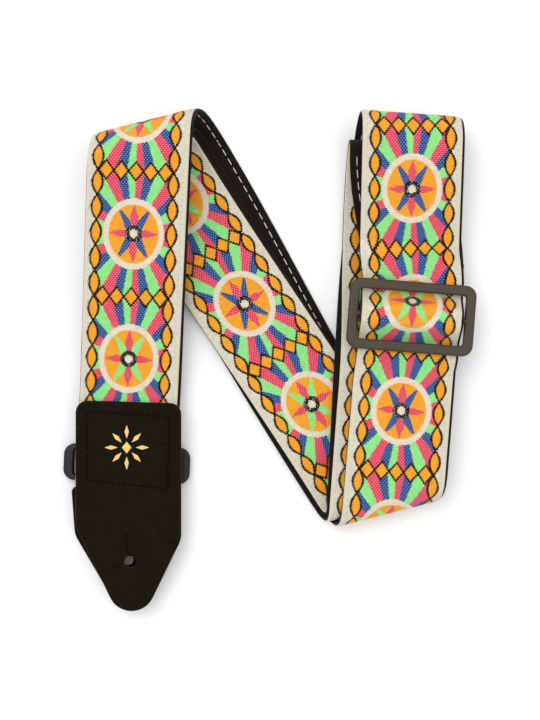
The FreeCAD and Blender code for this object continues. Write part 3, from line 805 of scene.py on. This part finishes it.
# rows of stitches: across, offset, pitch, length, width, height, thread
ROWS = [(side * SEAM_ACROSS - RIBBON_SHIFT, HALF - 0.16, 3.0, 1.3, 0.5, 0.26, 0) for side in (-1, 1)]
ROWS += [(side * BACK_SEAM_ACROSS, -HALF, 5.2, 4.5, 0.46, 0.3, 1) for side in (-1, 1)]
seams = {}


def attach(obj, body, slot_name, *nodes, ends=None):
    """Puts a piece in place of its CAD nodes, on its body; a piece with ends stays off any body, its
    transform baked into its mesh.
    """
    if nodes:
        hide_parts(*nodes)
    if ends:
        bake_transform(obj)
    else:
        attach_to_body(obj, body)


for piece, names, body, ends in PIECES:
    sections = [c for name in names for c in RUN[name]]
    sections = [c for i, c in enumerate(sections)
                if i == 0 or (c.centre - sections[i - 1].centre).length > 1e-4]
    for kind, profile, material, slot_name, width in (
            ("webbing", WEBBING_PROFILE, WEBBING, "black_webbing", WEBBING_WIDTH),
            ("ribbon", RIBBON_PROFILE, RIBBON, "woven_ribbon", RIBBON_WIDTH)):
        obj = strip("%s_%s_cloth" % (kind, piece), sections, profile, material)
        attach(obj, body, slot_name, *["%s_%s" % (kind, name) for name in names], ends=ends)
    key = "seams_" + (piece if ends else body)
    points, faces, slots = seams.setdefault(key, ([], [], [], (body, ends)))[:3]
    for across, offset, pitch, length, width, height, thread in ROWS:
        for start, end, normal in seam_points(sections, across, offset, pitch, length):
            before = len(faces)
            stitch(metres(start), metres(end), -normal if thread else normal, width * MM, height * MM,
                   points, faces)
            slots += [thread] * (len(faces) - before)
for key, (points, faces, slots, (body, ends)) in seams.items():
    obj = make_object(key, points, faces, [FRONT_THREAD, BACK_THREAD], slots=slots, sharp=80.0)
    attach(obj, body, "black_thread", ends=ends)


# ---- leather ends
LEATHER_THICK = 2.8
FRONT_SIZE, REAR_SIZE = (105.2, (27.9, 24.8), 1.5, 5.9), (63.6, (26.4, 26.4), 4.6, 3.0)
TIP_RADIUS, SHOULDER_RADIUS, TAPER, CREASE = 11.8, 12.0, radians(26.0), 2.6
HOLE_RADIUS, HOLE_FROM_TIP, HOLE_ASIDE = 3.0, 24.6, 0.7
SLIT_WIDTH, SLIT_LENGTH, SLIT_ANGLE = 0.24, 12.0, 9.0
FRONT_TIP, FRONT_ANGLE = (-69.6, 0.2, Z_TAIL + HALF + 0.05), 0.0
REAR_TIP, REAR_ANGLE = (-70.0, 0.3, RING_Z - LEATHER_THICK / 2), 4.2
FRONT_BOX = ((-22.2, 65.2), (18.2, 61.2), (18.5, 96.9), (-22.2, 99.7))
REAR_BOX = ((-20.0, -17.0), (20.0, -17.0), (20.0, -6.5), (-20.0, -6.5))


def rounded(points, radii, steps=10):
    """Outline with its corners rounded."""
    found = []
    for i, (p, r) in enumerate(zip(points, radii)):
        a, b = points[i - 1], points[(i + 1) % len(points)]
        if not r:
            found.append(p.copy())
            continue
        u, v = (a - p).normalized(), (b - p).normalized()
        half = acos(max(-1.0, min(1.0, u.dot(v)))) / 2
        centre = p + (u + v).normalized() * (r / sin(half))
        start, end = p + u * (r / tan(half)), p + v * (r / tan(half))
        sweep = pi - 2 * half
        first = start - centre
        sign = 1 if first.cross(end - centre) > 0 else -1
        for k in range(steps + 1):
            t = sign * sweep * k / steps
            found.append(centre + Vector((first.x * cos(t) - first.y * sin(t),
                                          first.x * sin(t) + first.y * cos(t))))
    return found


def inset(points, distance):
    """Outline moved inwards (it runs anticlockwise), or outwards if distance is negative."""
    found = []
    for i, p in enumerate(points):
        u = (p - points[i - 1]).normalized()
        v = (points[(i + 1) % len(points)] - p).normalized()
        n = Vector((-u.y - v.y, u.x + v.x)).normalized()
        found.append(p + n * (distance / max(0.4, n.dot(Vector((-u.y, u.x))))))
    return found


def leather_outline(length, sides, drop, corner):
    """Outline from the tip upwards; the top edge drops from left to right by drop."""
    r, (left, right) = TIP_RADIUS, sides
    arc = [Vector((r * sin(a), r - r * cos(a)))
           for a in [(-1 + i / 12) * (pi / 2 - TAPER) for i in range(25)]]
    end = arc[-1]
    shoulders = [Vector((side, end.y + (side - end.x) / tan(TAPER))) for side in (right, left)]
    corners = [end, shoulders[0], Vector((right, length - drop)), Vector((-left, length)),
               Vector((-left, shoulders[1].y)), arc[0]]
    return arc[1:-1] + rounded(corners, [0, SHOULDER_RADIUS, corner, corner, SHOULDER_RADIUS, 0])


def keyhole():
    """Round hole for the button with a slit towards the strap."""
    gap = SLIT_WIDTH / 2
    open_angle = asin(gap / HOLE_RADIUS)
    points = [Vector((HOLE_RADIUS * sin(a), HOLE_RADIUS * cos(a)))
              for a in [open_angle + (2 * pi - 2 * open_angle) * i / 40 for i in range(41)]]
    tip = HOLE_RADIUS - 0.3 + SLIT_LENGTH
    points += [Vector((-gap, HOLE_RADIUS + (tip - HOLE_RADIUS) * t)) for t in (0.3, 0.65, 0.95)]
    points += [Vector((0.0, tip))]
    points += [Vector((gap, HOLE_RADIUS + (tip - HOLE_RADIUS) * t)) for t in (0.95, 0.65, 0.3)]
    turn = Matrix.Rotation(radians(SLIT_ANGLE), 2)
    points = [turn @ p + Vector((-HOLE_ASIDE, HOLE_FROM_TIP)) for p in points]
    return list(reversed(points))


def place_local(origin, angle):
    turn = Matrix.Rotation(radians(angle), 3, "Z")
    return lambda p: metres(turn @ p + Vector(origin))


def leather_plate(name, size, origin, angle):
    """Plate with softened edges, a creased line along them and the button's hole."""
    outline, put = leather_outline(*size), place_local(origin, angle)
    hole = keyhole()
    work = bmesh.new()

    def loop(points, z):
        verts = [work.verts.new(put(Vector((p.x, p.y, z)))) for p in points]
        return verts, [work.edges.new((verts[i - 1], verts[i])) for i in range(len(verts))]

    def wall(loops, material):
        for (a, _), (b, _) in zip(loops, loops[1:]):
            for i in range(len(a)):
                work.faces.new((a[i - 1], a[i], b[i], b[i - 1])).material_index = material

    top, low = LEATHER_THICK, 0.0
    outer_steps = [(CREASE + 1.0, top), (CREASE + 0.3, top - 0.02), (CREASE, top - 0.1),
                   (CREASE - 0.3, top - 0.02), (0.8, top - 0.04), (0.42, top - 0.16), (0.16, top - 0.4),
                   (0.03, top - 0.75)]
    edge_steps = [(0.03, top - 0.75), (0.0, top * 0.5), (0.03, low + 0.6)]
    under_steps = [(0.03, low + 0.6), (0.2, low + 0.2), (0.6, low)]
    hole_steps = [(-0.5, top), (-0.3, top - 0.05), (-0.1, top - 0.18), (0.0, top - 0.45), (0.0, low + 0.45),
                  (-0.1, low + 0.15), (-0.4, low)]
    rim = [loop(inset(outline, d), z) for d, z in outer_steps]
    wall(rim, 0)
    edge = [rim[-1]] + [loop(inset(outline, d), z) for d, z in edge_steps[1:]]
    wall(edge, 1)
    under = [edge[-1]] + [loop(inset(outline, d), z) for d, z in under_steps[1:]]
    wall(under, 0)
    bore = [loop(inset(hole, d), z) for d, z in hole_steps]
    wall(bore[:4], 0)
    wall(bore[3:], 1)
    for outer, inner in ((rim[0], bore[0]), (under[-1], bore[-1])):
        bmesh.ops.triangle_fill(work, use_beauty=True, edges=outer[1] + inner[1])
    bmesh.ops.recalc_face_normals(work, faces=work.faces)
    mesh = bpy.data.meshes.new(name)
    work.to_mesh(mesh)
    work.free()
    mesh.materials.append(LEATHER)
    mesh.materials.append(EDGE)
    return shaded_object(name, mesh, 60.0)


STITCH_PITCH, STITCH_WIDTH, STITCH_HEIGHT = 2.9, 0.85, 0.6


def sew(name, node, body, *seams):
    """One object of black stitches; a seam is its rows (pairs of end points), placing, height, normal."""
    points, faces = [], []
    for rows, put, z, normal in seams:
        for start, end in rows:
            a, b = Vector((start[0], start[1], z)), Vector((end[0], end[1], z))
            count = max(1, round((b - a).length / STITCH_PITCH))
            for i in range(count):
                p, q = a.lerp(b, (i + 0.1) / count), a.lerp(b, (i + 0.9) / count)
                stitch(put(p), put(q), normal, STITCH_WIDTH * MM, STITCH_HEIGHT * MM, points, faces)
    thread = make_object(name, points, faces, [BLACK_THREAD], sharp=80.0)
    attach(thread, body, "black_thread", node)


def box_rows(corners):
    return list(zip(corners, corners[1:] + corners[:1]))


on_front = place_local(FRONT_TIP, FRONT_ANGLE)
attach(leather_plate("front_leather", FRONT_SIZE, FRONT_TIP, FRONT_ANGLE),
       "front_end", "black_leather", "leather_front")
attach(leather_plate("rear_leather", REAR_SIZE, REAR_TIP, REAR_ANGLE),
       "rear_end", "black_leather", "leather_rear")
sew("front_stitching", "stitching_front", "front_end",
    (box_rows(FRONT_BOX), on_front, LEATHER_THICK + 0.05, up(1.0)))

# generic ornament in gold foil, where such ends carry a stamp
FOIL_THICK, ORNAMENT_X, ORNAMENT_Y = 0.12, -2.3, 81.7


def foil_lozenge(x, y, long, wide, angle, points, faces):
    turn = Matrix.Rotation(radians(angle), 2)
    first = len(points)
    for size, z in ((1.0, 0.02), (0.97, FOIL_THICK), (0.62, FOIL_THICK), (0.56, FOIL_THICK * 0.45),
                    (0.42, FOIL_THICK * 0.45), (0.36, FOIL_THICK)):
        for cx, cy in ((long, 0.0), (0.0, wide), (-long, 0.0), (0.0, -wide)):
            p = turn @ Vector((cx * size, cy * size))
            points.append(on_front(Vector((p.x + x, p.y + y, LEATHER_THICK + z))))
    for ring in range(5):
        for j in range(4):
            k, a = (j + 1) % 4, first + 4 * ring
            faces.append((a + j, a + k, a + 4 + k, a + 4 + j))
    faces.append(tuple(first + 20 + j for j in range(4)))
    faces.append(tuple(first + 3 - j for j in range(4)))


points, faces = [], []
foil_lozenge(ORNAMENT_X, ORNAMENT_Y, 3.0, 2.4, 90.0, points, faces)
for i in range(8):
    d = unit(45.0 * i) * (7.8 if i % 2 == 0 else 6.8)
    foil_lozenge(ORNAMENT_X + d.x, ORNAMENT_Y + d.y, 3.4, 1.1, 45.0 * i, points, faces)
foil = make_object("gold_ornament", points, faces, [GOLD], sharp=20.0)
attach(foil, "front_end", "gold_foil", "foil_ornament")

# tab that holds the rear leather to the ring's lower bar
TAB_WIDTH, TAB_LENGTH, TAB_THICK = 50.0, 19.0, 1.6
TAB_RADIUS = RING_BAR / 2 + LAYER_GAP + TAB_THICK / 2
tab_up = unit(RING_ANGLE + 90)
low_bar = Vector((RING_X, RING_Y, RING_Z)) - tab_up * ((RING_DEPTH - RING_BAR) / 2)
ply = LEATHER_THICK / 2 + 0.05 + TAB_THICK / 2  # the tab lies on both faces of the leather
path = [(-TAB_LENGTH + i * 2.0, ply, 0.0, 1.0) for i in range(8)]
path += [(-3.0 + i * 0.75, ply + (TAB_RADIUS - ply) * (3 * (i / 4) ** 2 - 2 * (i / 4) ** 3), 0.0, 1.0)
         for i in range(1, 4)]
path += [(TAB_RADIUS * cos(a), TAB_RADIUS * sin(a), cos(a), sin(a))
         for a in [radians(90 - 180 * i / 20) for i in range(21)]]
path += [(y, -z, ny, -nz) for y, z, ny, nz in reversed(path[:11])]
tab_sections, tab_s = [], 0.0
tab_right = unit(RING_ANGLE)
for i, (y, z, ny, nz) in enumerate(path):
    c = Section(low_bar + tab_up * y + up(z), tab_right, (tab_up * ny + up(nz)).normalized(), tab_up, 1)
    tab_s += (c.centre - tab_sections[-1].centre).length if tab_sections else 0.0
    c.s = tab_s
    tab_sections.append(c)
tab_profile = webbing_profile(TAB_WIDTH, -TAB_THICK / 2, TAB_THICK / 2)
tab = strip("rear_tab_cloth", tab_sections, tab_profile, WEBBING)
attach(tab, "rear_end", "black_webbing", "rear_tab")

on_tab = place_local(low_bar, RING_ANGLE)
tab_face = LEATHER_THICK / 2 + 0.05 + TAB_THICK + 0.08
sew("rear_stitching", "stitching_rear", "rear_end",
    *((box_rows(REAR_BOX), on_tab, side * tab_face, up(side)) for side in (1.0, -1.0)))
on_loop = place_local((SLIDE_X, SLIDE_Y, Z_RETURN - LAYER - HALF - 0.08), SLIDE_ANGLE)
sew("slide_loop_stitching", "stitching_slide_loop", "slide",
    ([((-21.0, y), (21.0, y)) for y in (18.0, 24.0)], on_loop, 0.0, up(-1.0)))


# ---- moulded slide and ring
def frame_rings(length, depth, bar_width, end_width, corner, inner_corner, profile):
    """Closed loops round a rounded frame; profile is pairs of inset from the outer edge and height."""
    rings = []
    for d, z in profile:
        wider = (end_width - bar_width) * min(max((d - 1.5) / (bar_width - 3.0), 0.0), 1.0)
        x, y = length / 2 - d - wider, depth / 2 - d
        r = corner + (inner_corner - corner) * d / bar_width
        corners = [Vector((x, y)), Vector((-x, y)), Vector((-x, -y)), Vector((x, -y))]
        loop = rounded(corners, [r] * 4, 12)
        rings.append([Vector((p.x, p.y, z)) for p in loop])
    return rings


def bar_profile(width, thick, rounding, dip):
    """Rounded cross-section of a bar, from its outer edge; dip hollows its faces."""
    found = []
    x, z = width / 2 - rounding, thick / 2 - rounding
    for cx, cz, start in ((-x, z, 180), (x, z, 90), (x, -z, 0), (-x, -z, -90)):
        for i in range(7):
            a = radians(start - 15 * i)
            found.append((width / 2 + cx + rounding * cos(a), cz + rounding * sin(a)))
        if dip and cx * cz < 0:
            found.append((width / 2, math.copysign(thick / 2 - dip, cz)))
    return found


def moulded_frame(name, length, depth, bar_width, end_width, corner, inner_corner, thick, rounding, centre,
                  angle, material, dip=0.0, centre_bar=False):
    put = place_local(centre, angle)
    profile = bar_profile(bar_width, thick, rounding, dip)
    rings = frame_rings(length, depth, bar_width, end_width, corner, inner_corner, profile)
    points, faces = loft([[put(p) for p in ring] for ring in rings], joined=True)
    if centre_bar:
        end = length / 2 - bar_width
        flare = ((-1.5, 2.1), (-0.2, 2.1), (0.35, 1.86), (0.9, 1.7), (1.6, 1.62), (2.6, 1.6))
        stations = [(-end + x, r) for x, r in flare]
        stations += [(-x, r) for x, r in reversed(stations)]
        loops = [[put(Vector((x, min(r, 1.9) * cos(a), min(r, thick / 2) * sin(a))))
                  for a in [radians(15 * i) for i in range(24)]] for x, r in stations]
        p, f = loft(loops)
        faces += [tuple(i + len(points) for i in face) for face in f]
        points += p
    return make_object(name, points, faces, [material], sharp=60.0)


SLIDE_ROUNDING, SLIDE_DIP, RING_ROUNDING = 1.1, 0.08, 1.5
slide = moulded_frame("slide_buckle", SLIDE_LENGTH, SLIDE_DEPTH, SLIDE_BAR, SLIDE_BAR, SLIDE_CORNER,
                      SLIDE_INNER_CORNER, SLIDE_THICK, SLIDE_ROUNDING, SLIDE_CENTRE, SLIDE_ANGLE,
                      SLIDE_PLASTIC, dip=SLIDE_DIP, centre_bar=True)
attach(slide, "slide", "slide_plastic", "slide_frame")
ring = moulded_frame("ring_loop", RING_LENGTH, RING_DEPTH, RING_BAR, RING_END, RING_CORNER,
                     RING_INNER_CORNER, RING_BAR, RING_ROUNDING, RING_CENTRE, RING_ANGLE, RING_PLASTIC)
attach(ring, "ring", "ring_plastic", "end_ring")

# ---- floor, light, camera
floor_mesh = bpy.data.meshes.new("floor")
floor_mesh.from_pydata([(-4, -4, 0), (4, -4, 0), (4, 4, 0), (-4, 4, 0)], [], [(0, 1, 2, 3)])
floor = bpy.data.objects.new("floor", floor_mesh)
bpy.context.scene.collection.objects.link(floor)
pale = Graph("floor_white", roughness=0.9, specular=0.1)
floor_mesh.materials.append(pale.finish(rgb(244, 244, 244)))

world = bpy.data.worlds.new("studio")
world.use_nodes = True
background = world.node_tree.nodes["Background"].inputs
background["Color"].default_value = (1.0, 1.0, 1.0, 1.0)
background["Strength"].default_value = 0.8
bpy.context.scene.world = world


def area_light(name, place, target, size, power):
    light = bpy.data.lights.new(name, "AREA")
    light.size, light.energy = size, power
    obj = bpy.data.objects.new(name, light)
    obj.location = place
    obj.rotation_euler = (Vector(target) - Vector(place)).to_track_quat("-Z", "Y").to_euler()
    bpy.context.scene.collection.objects.link(obj)


area_light("key", (-0.45, 0.6, 1.6), (0.0, 0.0, 0.0), 1.2, 14.0)
area_light("fill", (0.7, -0.4, 1.5), (0.0, 0.0, 0.0), 1.6, 6.5)

camera_data = bpy.data.cameras.new("camera")
camera_data.lens, camera_data.sensor_width = 65.0, 36.0
camera = bpy.data.objects.new("camera", camera_data)
camera.location = (0.00132, 0.00004, 0.662)
bpy.context.scene.collection.objects.link(camera)
bpy.context.scene.camera = camera
bpy.context.scene.view_settings.view_transform = "Standard"
bpy.context.scene.view_settings.look = "None"
